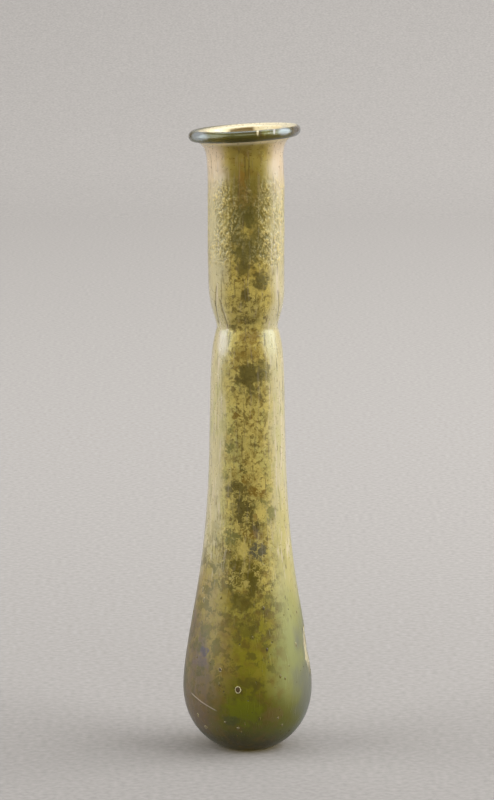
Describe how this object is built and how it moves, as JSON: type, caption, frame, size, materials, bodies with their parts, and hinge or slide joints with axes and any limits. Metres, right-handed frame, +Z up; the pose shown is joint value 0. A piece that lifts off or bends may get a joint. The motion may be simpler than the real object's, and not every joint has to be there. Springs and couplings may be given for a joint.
{
  "type": "glass unguentarium",
  "caption": "Slender blown-glass flask with a drop-shaped body, a pinched waist, a tubular neck and a folded rim, hollow and open at the mouth.",
  "frame": {"origin": "centre of the small flat base, on the surface that the vessel stands on", "axes": "+Z up along the vessel's axis; +X towards the raised side of the tilted rim; the side that the picture shows faces -Y"},
  "size_m": [0.0248, 0.0246, 0.12],
  "materials": {
    "glass": "translucent yellow-olive glass, clouded by a cream and brown weathering crust with a faint iridescence"
  },
  "bodies": {
    "root": {"vessel": "glass"}
  },
  "joints": []
}
